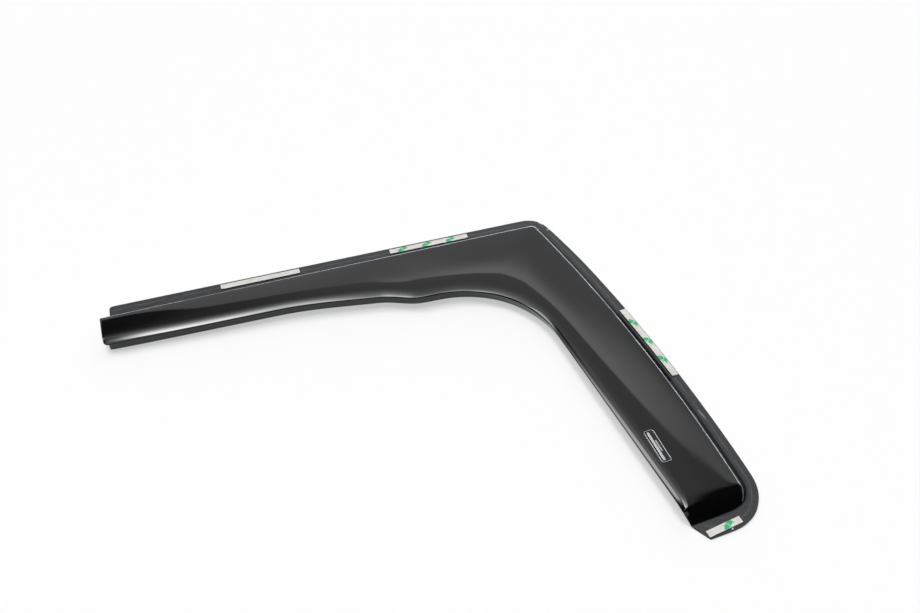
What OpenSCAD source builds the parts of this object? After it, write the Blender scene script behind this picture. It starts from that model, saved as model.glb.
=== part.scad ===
// Stick-on rain deflector for the upper front corner of a side window.
// One moulded shell of tinted acrylic in the shape of a bent arm, with four
// strips of foam tape on its flange, a release liner on each strip and a
// plain badge. It lies on its flange, outer side up, as it leaves the mould.
// The origin is on the flange's underside, a little inside the roof arm's outer
// edge and a little before the point where the flange's two outer edges would
// cross. The roof arm runs along -X, the pillar arm down -Y.

/* [Moulded sheet] */
// Thickness of the sheet
sheet_t = 2.5; // [2:0.1:3]
// Height of the rim above the flange's upper face
rim_h = 12; // [9:0.5:15]
// Height of the shield's inner edge above the flange's upper face
brow_h = 19.5; // [17:0.5:24]
// The same height at the open end of the roof arm
brow_open_h = 15.5; // [14:0.5:19]
// How far the shield bulges above a straight line from rim to inner edge
crown_h = 3.5; // [2:0.5:5]
// Radius of the roll from the shield into the lip
roll_r = 2; // [1.5:0.5:4]
// Slope of the shield where the roll starts
roll_start = 20; // [10:1:30]

/* [Roof arm] */
// Length of the flange's outer edge, from the corner to the open end
roof_len = 625; // [580:1:680]
// How far the shield runs past the flange at the open end
shield_over = 11.5; // [6:0.5:16]
// How far the shield's edge slants back towards the lip at the open end
end_slant = 3; // [0:0.5:6]
// Radius of the flange's corner at the open end
flange_end_r = 5; // [3:0.5:8]
// Radius of the shield's corner at the open end
shield_end_r = 4; // [2:0.5:6]
// How far the lip stops short of the shield at the open end
lip_short = 6; // [3:0.5:9]
// Distance of the rim from the outer edge, at the corner
rim_in = 26.5; // [24:0.5:30]
// Extra distance of the rim from the outer edge, at the open end
rim_in_extra = 4; // [0:0.5:6]
// Reach of the shield from the outer edge, at the open end
reach_open = 85; // [78:0.5:92]
// What the reach gains along the arm by an even slant
reach_slant = 14; // [8:0.5:20]
// What the reach gains in the long swell before the corner
swell = 17; // [10:0.5:22]
// Length of that swell
swell_len = 190; // [150:5:210]
// What the reach gains in the short step after the swell
step = 12; // [6:0.5:15]
// Length of that step
step_len = 55; // [40:1:70]

/* [Corner] */
// Radius of the flange's outer corner
corner_r = 38; // [30:1:45]
// How far the outer edge is drawn in where the corner runs into the pillar arm
corner_cut = 2.6; // [0:0.1:4]
// Radius of the rim at the corner
rim_corner_r = 8; // [6:0.5:12]
// Radius of the shield's inner edge round the inside of the bend
bay_r = 128; // [118:1:135]

/* [Pillar arm] */
// Depth of the pillar arm's outer edge, down to its lower corner
pillar_len = 506.5; // [470:0.5:540]
// Angle of the outer edge from square with the roof arm, at the corner
pillar_lean = 15; // [14:0.1:17]
// Radius of the outer edge's long bow
pillar_bow_r = 2370; // [2200:10:2600]
// Distance of the rim from the outer edge
pillar_rim_in = 25.5; // [23:0.5:29]
// Reach of the shield from the outer edge, at the lower end
pillar_reach = 111; // [104:0.5:116]
// Angle of the inner edge from square with the roof arm
inner_lean = 7.4; // [6.5:0.1:8.5]
// How far the lip leans back under the shield
lip_lean = 8.5; // [4:0.5:10]

/* [Lower end] */
// Radius of the flange's lower corner
end_r = 58; // [52:1:64]
// Slant of the flange's end edge
end_tilt = 8; // [4:0.5:10]
// Radius of the rim at the lower corner
end_rim_r = 6; // [4:0.5:9]
// Distance from the lower corner's centre down to the rim of the end wall
end_rim_drop = 15.5; // [11:0.5:20]
// How far that rim falls on its way to the inner edge
end_rim_fall = 12; // [8:0.5:16]
// Run of the end wall at the lower corner, from its rim to its foot
end_run = 19; // [16:0.5:23]
// Run of the end wall at its free end
end_run_free = 14.5; // [11:0.5:18]
// Radius of the end wall's foot at the lower corner
end_foot_r = 34; // [28:1:38]
// Length of the flange left of the lower corner's centre
end_flange = 27; // [22:0.5:32]

/* [Wall and lip] */
// Run of the wall, from the rim out to its foot on the flange
wall_run = 12; // [9:0.5:14]
// Power of the curve that the wall follows, where 1 is a straight slope
wall_power = 1.1; // [1:0.1:2]
// Power of the curve that the end wall follows, where 2 rounds its top most
end_power = 1.8; // [1.4:0.1:2]
// Depth of the lip along the roof arm, from the top of the roll
lip_h = 12; // [9:0.5:14]
// Height of the lip's edge above the flange's upper face, pillar arm
lip_low_h = 1.5; // [0.5:0.5:4]

/* [Tape] */
// Width of the foam tape
tape_w = 8; // [6:0.5:10]
// Thickness of the foam tape
tape_t = 1.1; // [0.8:0.1:1.6]
// Thickness of the release liner
liner_t = 0.3; // [0.2:0.1:0.5]
// How far the liner stands out past the foam all round
liner_over = 0.3; // [0:0.1:0.6]
// Distance of the pillar arm's strip from the flange's outer edge
tape_margin = 1.8; // [1.4:0.1:3]
// Distance of the roof arm's strips from the flange's outer edge
roof_tape_margin = 4; // [2:0.1:5]
// Length of the roof arm's rear strip
rear_tape_len = 110; // [80:1:125]
// Distance from the corner to that strip
rear_tape_at = 363.5; // [345:0.5:400]
// Length of the roof arm's front strip
front_tape_len = 116; // [80:1:130]
// Distance from the corner to that strip
front_tape_at = 115.5; // [90:0.5:150]
// Length of the pillar arm's strip
pillar_tape_len = 128; // [90:1:140]
// Depth of the middle of that strip below the roof arm's outer edge
pillar_tape_at = 276; // [240:1:330]
// Length of the end strip
end_tape_len = 45; // [34:1:46]
// Turn of the end strip away from the roof arm's line
end_tape_turn = 9; // [5:0.5:12]
// Distance from the lower corner's centre to the middle of the end strip, leftwards
end_tape_at = 6; // [4:0.5:8]
// Distance from the lowest point of the lower corner up to the strip's middle
end_tape_in = 7; // [6:0.5:8]

/* [Badge] */
// Length of the badge
badge_l = 48; // [36:1:54]
// Width of the badge
badge_w = 13; // [10:0.5:16]
// Thickness of the badge
badge_t = 0.9; // [0.6:0.1:1.4]
// Corner radius of the badge
badge_r = 3; // [1.5:0.5:4]
// Width of the badge's raised border
badge_border = 0.9; // [0.6:0.1:1.5]
// Height of the badge's raised border
badge_border_h = 0.3; // [0.2:0.1:0.5]
// Depth of the badge's middle below the roof arm's outer edge
badge_at = 444; // [420:1:470]
// Place of the badge across the shield, from the rim to the inner edge
badge_across = 0.77; // [0.6:0.01:0.78]
// Thickness of the glue under the badge
glue_t = 0.15; // [0.1:0.05:0.3]

/* [Hidden] */
$fn = 48;

SMOKE = [0.11, 0.12, 0.13];
FOAM = [0.25, 0.25, 0.26];
PAPER = [0.93, 0.93, 0.9];
SILVER = [0.72, 0.73, 0.75];

// Plain helpers
function lerp(a, b, f) = a + (b - a) * f;
function ease(f) = let (g = min(1, max(0, f))) g * g * (3 - 2 * g);
function turn(a) = [cos(a), sin(a)];
function upto(n) = [for (k = [1:n]) k / n];
function xyz(p, z) = [p.x, p.y, z];

// The shapes below are measured from the crossing of the outer edges. home is
// the way from the origin to that crossing.
home_back = 38;
home_in = 5.8;
home = [home_back, home_in, 0];
flange_z = sheet_t;
rim_z = sheet_t + rim_h;

// How the shield is divided from rim to roll, and into how many steps the roll
ACROSS = [0, 0.15, 0.33, 0.5, 0.64, 0.77, 0.89, 1];
FLAT = len(ACROSS) - 1;
STEPS = FLAT + 3;
// How the wall and the lip are divided from top to foot
DOWN = [0, 0.12, 0.28, 0.46, 0.7, 1];
SINK = len(DOWN) - 1;
// Distances from the outer edge at which the flange is divided
LAND = [flange_end_r, flange_end_r / 2, flange_end_r / 5, 0];
SIDE_ROWS = SINK + len(LAND);

// The pillar arm's long bow, set in from the outer edge by d
bow_x = -pillar_bow_r * cos(pillar_lean);
bow_y = -pillar_bow_r * sin(pillar_lean);
bow_end = asin(sin(pillar_lean) - pillar_len / pillar_bow_r);
function bow(angle, d) = [bow_x, bow_y] + (pillar_bow_r - d) * turn(angle);

// Centre and start angle of an arc of radius r that rounds the corner between
// the line y = -a and the bow set in by b
function corner_centre(a, b, r) =
    let (cy = -a - r, m = pillar_bow_r - b - r)
    [bow_x + sqrt(m * m - pow(cy - bow_y, 2)), cy];
function corner_angle(c) = atan2(c.y - bow_y, c.x - bow_x);

// Three lines run side by side along the piece: the outer edge, the wall's
// foot and the rim. Each has a straight roof part, a corner, a bowed pillar
// part, a lower corner and an end part.
// kind 0 is the outer edge, 1 the foot and 2 the rim.
function roof_in(kind, x) =
    let (rim = rim_in + rim_in_extra * max(0, min(1, -x / roof_len)))
    [0, rim - wall_run, rim][kind];
function pillar_in(kind) = [0, pillar_rim_in - wall_run, pillar_rim_in][kind];
function bend_r(kind) = [corner_r, rim_corner_r + wall_run, rim_corner_r][kind];
function bend_centre(kind) = corner_centre(roof_in(kind, 0), pillar_in(kind), bend_r(kind));

// The lower corner of each line. Its first half ends at the angle low_mid.
low_mid = -45;
end_centre = bow(bow_end, end_r);
rim_end_y = end_centre.y - end_rim_drop;
function low_r(kind) = [end_r, end_foot_r, end_rim_r][kind];
function low_centre(kind) =
    kind == 0 ? end_centre :
    let (y = rim_end_y - (kind == 1 ? end_run : 0) + low_r(kind),
         m = pillar_bow_r - pillar_in(kind) - low_r(kind))
    [bow_x + sqrt(m * m - pow(y - bow_y, 2)), y];
function low_start(kind) = let (c = low_centre(kind)) atan2(c.y - bow_y, c.x - bow_x);

// The shield's inner edge: a slanting roof part, an arc round the inside of
// the bend, and a straight pillar part
bay_reach = reach_open + reach_slant + swell + step;
inner_foot = [bow(bow_end, 0).x - pillar_reach, -pillar_len];
bay_x = inner_foot.x + (inner_foot.y + bay_reach + bay_r) * tan(inner_lean)
    - bay_r / cos(inner_lean);
bay_centre = [bay_x, -bay_reach - bay_r];
bay_end = bay_centre + bay_r * turn(inner_lean);
inner_end_y = rim_end_y - end_rim_fall;
inner_end = [inner_foot.x + (inner_foot.y - inner_end_y) * tan(inner_lean), inner_end_y];
swell_from = bay_x - swell_len - 20;
step_from = bay_x - step_len - 22;
function reach(x) = reach_open + reach_slant * (roof_len + x) / (roof_len + bay_x)
    + swell * ease((x - swell_from) / swell_len)
    + step * ease((x - step_from) / step_len);
function inner_roof(x) = [x, -reach(x)];
function inner_bay(angle) = bay_centre + bay_r * turn(angle);

// The free end of each line at the lower end of the piece
rim_free = inner_end;
foot_free = rim_free + end_run_free * turn(-54);
edge_free = [end_centre.x - end_flange,
    end_centre.y - end_r * cos(end_tilt) - (end_flange - end_r * sin(end_tilt)) * tan(end_tilt)];
function free(kind) = [edge_free, foot_free, rim_free][kind];

// A point of each of the three lines. Part 0 is the roof arm with f an x,
// part 1 the corner, part 2 the pillar arm, part 3 the first half of the
// lower corner, and part 4 what follows, each with f from 0 to 1.
function drawn_in(kind, part, f) = kind > 0 ? 0 :
    corner_cut * (part == 1 ? ease((f - 0.4) / 0.5) : pow(max(0, 1 - f / 0.18), 1.5));
function side_line(kind, part, f) =
    part == 0 ? [f, -roof_in(kind, f)] :
    part == 1 ? let (c = bend_centre(kind))
        c + (bend_r(kind) - drawn_in(kind, 1, f)) * turn(lerp(90, corner_angle(c), f)) :
    part == 2 ? bow(lerp(corner_angle(bend_centre(kind)), low_start(kind), f),
        pillar_in(kind) + drawn_in(kind, 2, f)) :
    part == 3 ? low_centre(kind) + low_r(kind) * turn(lerp(low_start(kind), low_mid, f)) :
    let (c = low_centre(kind), r = low_r(kind), goal = free(kind),
         to_goal = goal - c,
         leave = atan2(to_goal.y, to_goal.x) + acos(r / norm(to_goal)),
         arc = r * (low_mid - leave) * PI / 180,
         from = c + r * turn(leave),
         way = f * (arc + norm(goal - from)))
    way < arc ? c + r * turn(lerp(low_mid, leave, way / arc))
              : lerp(from, goal, (way - arc) / norm(goal - from));

// Stations along the piece. Each is [part, f for the three lines, place on
// the inner edge]. A place is [0, x], [1, angle] or [2, fraction].
fan_from = step_from + step_len + 6;
bay_mid = (90 + inner_lean) / 2;
pillar_turn = 0.46;
pillar_mid = 0.11;
open_x = -roof_len - shield_over;
full_x = -roof_len + 1.8 * flange_end_r;
ROOF_PLAIN = [for (f = upto(5)) lerp(full_x, swell_from, f)];
ROOF_SWELL = [for (f = upto(17)) lerp(swell_from, fan_from, f)];
STATIONS = concat(
    [[0, open_x, [0, open_x + end_slant]],
     [0, -roof_len, [0, open_x + end_slant + lip_short]],
     [0, full_x, [0, full_x]]],
    [for (x = concat(ROOF_PLAIN, ROOF_SWELL)) [0, x, [0, x]]],
    [for (f = upto(7)) [0, lerp(fan_from, bend_centre(0).x, f),
        f < 0.3 ? [0, lerp(fan_from, bay_x, f / 0.3)]
                : [1, lerp(90, bay_mid + 12, (f - 0.3) / 0.7)]]],
    [for (f = upto(10)) [1, f, [1, lerp(bay_mid + 12, bay_mid - 12, f)]]],
    [for (f = upto(8)) [2, lerp(0, pillar_turn, f),
        f < 0.7 ? [1, lerp(bay_mid - 12, inner_lean, f / 0.7)]
                : [2, lerp(0, pillar_mid, (f - 0.7) / 0.3)]]],
    [for (f = upto(9)) [2, lerp(pillar_turn, 1, f), [2, lerp(pillar_mid, 0.94, f)]]],
    [for (f = upto(4)) [3, f, [2, lerp(0.94, 1, f)]]]);
LAST = len(STATIONS) - 1;
SIDE_LAST = LAST + STEPS;

function inner_edge(place) =
    place[0] == 0 ? inner_roof(place[1]) :
    place[0] == 1 ? inner_bay(place[1]) : lerp(bay_end, inner_end, place[1]);

// Heights and lean along the inner edge
function along(i) =
    let (p = STATIONS[i][2])
    p[0] == 0 ? max(0, min(1, (p[1] + roof_len) / (roof_len + bay_x))) :
    p[0] == 1 ? 1 + (90 - p[1]) / (90 - inner_lean) : 2 + p[1];
function edge_z(i) = flange_z + lerp(brow_open_h, brow_h, ease(along(i) * 1.4));
function lip_z(i) =
    i == LAST ? flange_z : lerp(edge_z(i) - lip_h, flange_z + lip_low_h, ease(along(i) - 1));
function lip_back(i) = lerp(0.5, lip_lean, ease(along(i) - 1));

// Place across the shield of point k on a rib of length w, from 0 at the rim
// to 1 at the inner edge
function roll_angle(k) = lerp(roll_start, 90, max(0, k - FLAT) / (STEPS - FLAT));
function across(k, w) =
    k <= FLAT ? ACROSS[k] * (1 - roll_r * (1 - sin(roll_start)) / w)
              : 1 - roll_r * (1 - sin(roll_angle(k))) / w;
// Height there: a straight climb, a bulge that is fullest at three quarters of
// the way, and the roll
function crown(v) = crown_h * pow(v, 3) * (1 - v) * 256 / 27;
function shield_z(k, top) =
    let (v = ACROSS[min(k, FLAT)])
    lerp(rim_z, top, v) + crown(v) - roll_r * (cos(roll_start) - cos(roll_angle(k)));

// The moulding's outer face is three patches of points that share borders.
// Side: from rim to outer edge. Top: from rim to inner edge. Lip: from the
// inner edge down. Past the last station the side patch runs on round the
// lower end, below the top patch's last rib.
end_w = flat_len(low_centre(2), rim_free);
function flat_len(a, b) = norm([b.x - a.x, b.y - a.y]);
function plan(kind, i) = i <= LAST
    ? side_line(kind, STATIONS[i][0], STATIONS[i][1])
    : side_line(kind, 4, across(i - LAST, end_w));
function crest_z(i) = i <= LAST ? rim_z : shield_z(i - LAST, edge_z(LAST));
function round_off(d, r) = d >= r ? 0 : r - sqrt(r * r - pow(r - d, 2));

// How much of its height the wall has left at u of its run. Round the lower
// end its top is rounded, most at the corner and no more at the free end.
function rounded(i) =
    i > LAST ? 1 - pow(across(i - LAST, end_w), 2) :
    STATIONS[i][0] == 3 ? ease(STATIONS[i][1]) : 0;
function wall_left(u, i) =
    lerp(pow(1 - u, wall_power), 1 - pow(u, end_power), rounded(i));

function side_point(i, j) =
    let (rim = plan(2, i), foot = plan(1, i), edge = plan(0, i))
    j <= SINK
    ? let (u = DOWN[j])
        xyz(lerp(rim, foot, u), flange_z + (crest_z(i) - flange_z) * wall_left(u, i))
    : let (d = LAND[j - SINK - 1], p = lerp(edge, foot, d / norm(foot - edge)))
        xyz(p + [i == 1 ? round_off(d, flange_end_r) : 0, 0], flange_z);

function top_point(i, k) =
    i == LAST ? side_point(LAST + k, 0) :
    let (rim = plan(2, i), edge = inner_edge(STATIONS[i][2]), w = norm(rim - edge),
         v = across(k, w),
         nudge = i == 0 ? round_off((1 - v) * w, shield_end_r) : 0)
    xyz(lerp(rim, edge, v) + [nudge, 0], shield_z(k, edge_z(i)));

function lip_point(i, m) =
    i == LAST ? side_point(SIDE_LAST, m) :
    let (edge = inner_edge(STATIONS[i][2]), rim = plan(2, i),
         back = (rim - edge) / norm(rim - edge) * lip_back(i), f = DOWN[m])
    xyz(edge + back * f, lerp(edge_z(i) - roll_r * cos(roll_start), lip_z(i), f));

SIDE = [for (i = [0:SIDE_LAST]) [for (j = [0:SIDE_ROWS]) side_point(i, j)]];
TOP = [for (i = [0:LAST]) [for (k = [0:STEPS]) top_point(i, k)]];
LIP = [for (i = [0:LAST]) [for (m = [0:SINK]) lip_point(i, m)]];

// Outward normal of a patch at a point, from the points around it
function unit(v) = v / norm(v);
function normal(grid, a, b, low, sense) =
    let (rows = len(grid) - 1, cols = len(grid[0]) - 1,
         along_a = grid[min(rows, a + 1)][b] - grid[max(low, a - 1)][b],
         along_b = grid[a][min(cols, b + 1)] - grid[a][max(0, b - 1)])
    unit(cross(along_a, along_b)) * sense;
function side_n(i, j) = normal(SIDE, i, j, 1, 1);
function top_n(i, k) = normal(TOP, i, k, 0, -1);
function lip_n(i, m) = normal(LIP, i, m, 1, -1);

// The inner face lies one sheet thickness below the outer face. Where patches
// meet, the point is set in along the mean of their normals.
function inside(p, a, b) =
    let (mean = unit(a + b))
    p - mean * sheet_t / max(0.6, mean * a);
function side_in(i, j) = inside(SIDE[i][j], side_n(i, j), side_n(i, j));
function top_in(i, k) =
    let (own = top_n(i, k),
         other = k == 0 && i > 0 ? side_n(i, 0) :
             i == LAST ? side_n(LAST + k, 0) :
             k == STEPS && i > 0 ? lip_n(i, 0) : own)
    inside(TOP[i][k], own, other);
function lip_in(i, m) =
    inside(LIP[i][m], lip_n(i, m), i == LAST ? side_n(SIDE_LAST, m) : lip_n(i, m));

// Points of one face, each kept once: the ribs from the flange's outer edge
// to the lip's edge, then the ribs round the lower end
function face_points(side, top, lip) = concat(
    top[0],
    [for (i = [1:LAST]) each concat(
        [for (j = [SIDE_ROWS:-1:1]) side[i][j]], top[i],
        [for (m = [1:SINK]) lip[i][m]])],
    [for (i = [LAST + 1:SIDE_LAST], j = [1:SIDE_ROWS])
        if (i < SIDE_LAST || j > SINK) side[i][j]]);
SIDE_IN = [for (i = [0:SIDE_LAST]) [for (j = [0:SIDE_ROWS])
    i == 0 ? [0, 0, 0] : side_in(i, j)]];
TOP_IN = [for (i = [0:LAST]) [for (k = [0:STEPS]) top_in(i, k)]];
LIP_IN = [for (i = [0:LAST]) [for (m = [0:SINK]) i == 0 ? [0, 0, 0] : lip_in(i, m)]];
SKIN = face_points(SIDE, TOP, LIP);
LINING = face_points(SIDE_IN, TOP_IN, LIP_IN);

// Numbers of the points in that list
RIB = SIDE_ROWS + STEPS + 1 + SINK;
function rib_start(i) = STEPS + 1 + (i - 1) * RIB;
function top_id(i, k) = i == 0 ? k : rib_start(i) + SIDE_ROWS + k;
function lip_id(i, m) = m == 0 ? top_id(i, STEPS) : rib_start(i) + SIDE_ROWS + STEPS + m;
function side_id(i, j) =
    i <= LAST ? rib_start(i) + SIDE_ROWS - j :
    j == 0 ? top_id(LAST, i - LAST) :
    i == SIDE_LAST && j <= SINK ? lip_id(LAST, j) :
    rib_start(LAST + 1) + (i - LAST - 1) * SIDE_ROWS + j - 1 - (i == SIDE_LAST ? SINK : 0);

// Four corners of every small patch, turning clockwise seen from outside
QUADS = concat(
    [for (i = [1:SIDE_LAST - 1], j = [0:SIDE_ROWS - 1])
        [side_id(i, j), side_id(i, j + 1), side_id(i + 1, j + 1), side_id(i + 1, j)]],
    [for (i = [0:LAST - 1], k = [0:STEPS - 1])
        [top_id(i, k), top_id(i + 1, k), top_id(i + 1, k + 1), top_id(i, k + 1)]],
    [for (i = [1:LAST - 1], m = [0:SINK - 1])
        [lip_id(i, m), lip_id(i + 1, m), lip_id(i + 1, m + 1), lip_id(i, m + 1)]]);
// The free border of the sheet, once round
BORDER = concat(
    [for (i = [1:SIDE_LAST]) side_id(i, SIDE_ROWS)],
    [for (j = [SIDE_ROWS - 1:-1:SINK]) side_id(SIDE_LAST, j)],
    [for (i = [LAST - 1:-1:1]) lip_id(i, SINK)],
    [for (m = [SINK - 1:-1:0]) lip_id(1, m)],
    [for (k = [STEPS:-1:0]) top_id(0, k)],
    [for (j = [0:SIDE_ROWS - 1]) side_id(1, j)]);
function halves(q) = [[q[0], q[1], q[2]], [q[0], q[2], q[3]]];
function lined(q) = [for (n = [3:-1:0]) q[n] + len(SKIN)];
FACES = concat(
    [for (q = QUADS) each halves(q)],
    [for (q = QUADS) each halves(lined(q))],
    [for (n = [0:len(BORDER) - 1])
        let (a = BORDER[n], b = BORDER[(n + 1) % len(BORDER)])
        each halves([b, a, a + len(SKIN), b + len(SKIN)])]);

module deflector_shell()
    color(SMOKE)
        translate(home)
            polyhedron(points = concat(SKIN, LINING), faces = FACES, convexity = 12);

// Tape: straight strips on the roof arm, a bowed one on the pillar arm and a
// short turned one at the lower end. out is how much wider the strip is drawn.
module roof_strip(at, run, out, h)
    translate([-at - run / 2, -roof_tape_margin - tape_w / 2, 0])
        linear_extrude(h)
            square([run + 2 * out, tape_w + 2 * out], center = true);

pillar_tape_mid = asin(sin(pillar_lean) - pillar_tape_at / pillar_bow_r);
function strip_points(d, half, n) =
    [for (f = [-n:n]) bow(pillar_tape_mid + half * f / n, d)];
module pillar_strip(out, h) {
    half = (pillar_tape_len / 2 + out) / pillar_bow_r * 180 / PI;
    near = strip_points(tape_margin - out, half, 4);
    far = strip_points(tape_margin + tape_w + out, -half, 4);
    linear_extrude(h)
        polygon(concat(near, far));
}

module end_strip(out, h)
    translate([end_centre.x - end_tape_at, end_centre.y - end_r + end_tape_in, 0])
        rotate(end_tape_turn)
            linear_extrude(h)
                square([end_tape_len + 2 * out, tape_w + 2 * out], center = true);

module foam()
    color(FOAM)
        translate(home + [0, 0, flange_z])
            children();
module liner()
    color(PAPER)
        translate(home + [0, 0, flange_z + tape_t])
            children();

module rear_roof_tape()
    foam() roof_strip(rear_tape_at, rear_tape_len, 0, tape_t);
module front_roof_tape()
    foam() roof_strip(front_tape_at, front_tape_len, 0, tape_t);
module pillar_tape()
    foam() pillar_strip(0, tape_t);
module end_tape()
    foam() end_strip(0, tape_t);
module rear_roof_liner()
    liner() roof_strip(rear_tape_at, rear_tape_len, liner_over, liner_t);
module front_roof_liner()
    liner() roof_strip(front_tape_at, front_tape_len, liner_over, liner_t);
module pillar_liner()
    liner() pillar_strip(liner_over, liner_t);
module end_liner()
    liner() end_strip(liner_over, liner_t);

// The badge lies on the slope of the pillar shield. Its frame comes from the
// rib through its middle: the line across the shield and the line along it.
function badge_h(off) =
    let (v = badge_across + off)
    rim_z + (brow_h - rim_h) * v + crown(v);
badge_rim = let (a = asin((-badge_at - bow_y) / (pillar_bow_r - pillar_rim_in)))
    bow(a, pillar_rim_in);
badge_edge = let (y = badge_rim.y - 6)
    [inner_foot.x + (inner_foot.y - y) * tan(inner_lean), y];
badge_run = norm(badge_rim - badge_edge);
badge_slope = atan2((badge_h(0.05) - badge_h(-0.05)), badge_run * 0.1);
badge_mid = lerp(badge_rim, badge_edge, badge_across);
badge_turn = atan2(badge_rim.y - badge_edge.y, badge_rim.x - badge_edge.x);
badge_z = badge_h(0);

module badge_outline(inset) {
    square([badge_w - 2 * inset, badge_l - 2 * badge_r], center = true);
    square([badge_w - 2 * badge_r, badge_l - 2 * inset], center = true);
    for (a = [-1, 1], b = [-1, 1])
        translate([a * (badge_w / 2 - badge_r), b * (badge_l / 2 - badge_r)])
            circle(r = badge_r - inset);
}
module badge_plate()
    color(SILVER)
        translate(home + xyz(badge_mid, badge_z))
            rotate([0, 0, badge_turn])
                rotate([0, badge_slope, 0])
                    translate([0, 0, glue_t]) {
                        linear_extrude(badge_t)
                            badge_outline(0);
                        translate([0, 0, badge_t])
                            linear_extrude(badge_border_h)
                                difference() {
                                    badge_outline(0);
                                    badge_outline(badge_border);
                                }
                    }

deflector_shell();
rear_roof_tape();
front_roof_tape();
pillar_tape();
end_tape();
rear_roof_liner();
front_roof_liner();
pillar_liner();
end_liner();
badge_plate();
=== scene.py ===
# %% [markdown]
# # A stick-on rain deflector in Blender
# The object is one moulded sheet of dark, polished acrylic, bent like an arm
# round the upper front corner of a side window. Four strips of foam tape with
# pale liners lie on its flat flange, and a small badge sits on the shield.
# The CAD model gives every place and size. It is loaded first and never moves.

# %% Load the imported model
import bpy
import bmesh
import math
from mathutils import Matrix, Vector


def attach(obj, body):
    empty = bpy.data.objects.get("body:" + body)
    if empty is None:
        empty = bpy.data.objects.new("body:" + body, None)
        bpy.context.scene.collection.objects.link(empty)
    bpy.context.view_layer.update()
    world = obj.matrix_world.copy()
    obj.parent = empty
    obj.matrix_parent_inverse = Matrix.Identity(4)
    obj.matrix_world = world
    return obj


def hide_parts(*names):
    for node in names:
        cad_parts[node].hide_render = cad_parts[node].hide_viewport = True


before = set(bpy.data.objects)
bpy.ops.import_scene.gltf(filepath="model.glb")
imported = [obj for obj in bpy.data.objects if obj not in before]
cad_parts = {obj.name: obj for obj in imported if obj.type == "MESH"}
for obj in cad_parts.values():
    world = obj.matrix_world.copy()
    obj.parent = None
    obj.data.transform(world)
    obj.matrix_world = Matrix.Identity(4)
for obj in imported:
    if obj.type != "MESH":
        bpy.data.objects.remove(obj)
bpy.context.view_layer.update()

# %% [markdown]
# ## The camera
# The photograph was solved from the outlines of the piece on its table. The
# lens is close to 40 mm on a 36 mm sensor, looking 46 degrees down. The
# piece lies turned a little, so the camera stands turned against its axes.

# %% Camera
TURN = -17.2688
scene = bpy.context.scene


def new_object(name, data):
    """An object in the scene, made from a mesh or a camera."""
    made = bpy.data.objects.new(name, data)
    scene.collection.objects.link(made)
    return made


scene.view_settings.view_transform = "Standard"
eye = bpy.data.cameras.new("eye")
eye.lens = 39.87
eye.sensor_width = 36.0
camera = new_object("eye", eye)
camera.location = (-0.41612, -1.05704, 1.0025)
camera.rotation_euler = (math.radians(43.9885), 0.0, math.radians(TURN))
scene.camera = camera
print("camera stands", round(camera.location.length, 3), "m from the origin")

# %% [markdown]
# ## Shader maths as plain Python
# A material is a web of nodes. Long webs are hard to read as node by node
# code, so one small class wraps a socket. Adding or multiplying two wrapped
# sockets adds a Math node, and 1 - mask works as it does on paper.

# %% Socket maths
class Wire:
    """An output socket that can stand in a Python sum."""

    def __init__(self, board, socket):
        self.board, self.socket = board, socket

    def maths(self, operation, *values):
        return self.board.node("ShaderNodeMath", {"operation": operation}, values)

    def twin(self, out):
        """Another output of the same node."""
        return Wire(self.board, self.socket.node.outputs[out])

    def size(self):
        return self.maths("ABSOLUTE", self)

    def squared(self):
        return self * self

    def lowest(self, other):
        return self.maths("MINIMUM", self, other)

    def highest(self, other):
        return self.maths("MAXIMUM", self, other)

    def __add__(self, other): return self.maths("ADD", self, other)
    def __sub__(self, other): return self.maths("SUBTRACT", self, other)
    def __rsub__(self, other): return self.maths("SUBTRACT", other, self)
    def __mul__(self, other): return self.maths("MULTIPLY", self, other)

    __radd__, __rmul__ = __add__, __mul__

    def step(self, start, end):
        """0 below start, 1 above end, and smooth between."""
        return self.board.node("ShaderNodeMapRange",
                               {"interpolation_type": "SMOOTHSTEP"},
                               {"Value": self, "From Min": start, "From Max": end})


print("a Wire can be added, multiplied and stepped")

# %% [markdown]
# The board is the node tree itself. Its method `node` makes any node: first its
# settings, then the values or links of its sockets. `mix` blends two colours
# with it, and `surface` makes a Principled shader with a fine relief and joins
# it to the output, since all the finishes here end that way.

# %% Node board
class Board:
    """A node tree with one way to add any node."""

    def __init__(self, owner):
        owner.use_nodes = True
        self.tree = owner.node_tree
        self.tree.nodes.clear()

    def node(self, kind, settings=None, values=(), out=0):
        made = self.tree.nodes.new(kind)
        for name, value in (settings or {}).items():
            if name == "stops":
                ramp = made.color_ramp
                while len(ramp.elements) > 1:
                    ramp.elements.remove(ramp.elements[-1])
                for n, (place, shade) in enumerate(value):
                    stop = ramp.elements[0] if n == 0 else ramp.elements.new(place)
                    stop.position = place
                    stop.color = (shade, shade, shade, 1)
            else:
                setattr(made, name, value)
        pairs = values.items() if isinstance(values, dict) else enumerate(values)
        for name, value in pairs:
            socket = made.inputs[name]
            if isinstance(value, Wire):
                self.tree.links.new(value.socket, socket)
            else:
                socket.default_value = value
        return Wire(self, made.outputs[out]) if made.outputs else None

    def mix(self, factor, a, b):
        """Colour a where factor is 0, b where it is 1."""
        return self.node("ShaderNodeMix", {"data_type": "RGBA"}, {0: factor, 6: a, 7: b}, 2)

    def surface(self, relief, strength, depth, looks):
        """A Principled shader with a relief, depth metres deep, as the output."""
        looks["Normal"] = self.node("ShaderNodeBump", {}, {
            "Strength": strength, "Distance": depth, "Height": relief})
        shader = self.node("ShaderNodeBsdfPrincipled", {}, looks)
        self.node("ShaderNodeOutputMaterial", {}, {"Surface": shader})


print("a Board makes and joins nodes")

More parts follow.
